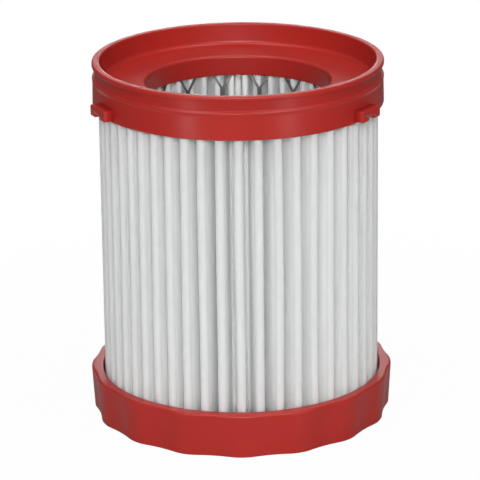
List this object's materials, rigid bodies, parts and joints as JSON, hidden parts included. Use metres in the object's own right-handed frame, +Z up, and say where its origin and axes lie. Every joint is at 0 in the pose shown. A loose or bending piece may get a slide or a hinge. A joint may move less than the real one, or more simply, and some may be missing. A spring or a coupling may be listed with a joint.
{
  "type": "vacuum cleaner filter cartridge",
  "caption": "Cylindrical pleated filter cartridge with a dished, open top cap with bayonet lugs, a closed fluted bottom cap and an expanded metal core.",
  "frame": {"origin": "centre of the underside of the bottom cap, on the cartridge's axis", "axes": "+Z up along the axis towards the open top cap, -Y towards the front"},
  "size_m": [0.1606, 0.1616, 0.192],
  "materials": {
    "cap": "satin",
    "media": "matte",
    "core": "satin",
    "potting": "satin"
  },
  "bodies": {
    "root": {"top_cap": "cap", "bottom_cap": "cap", "pleated_media": "media", "support_core": "core", "upper_potting": "potting", "lower_potting": "potting"}
  },
  "joints": []
}
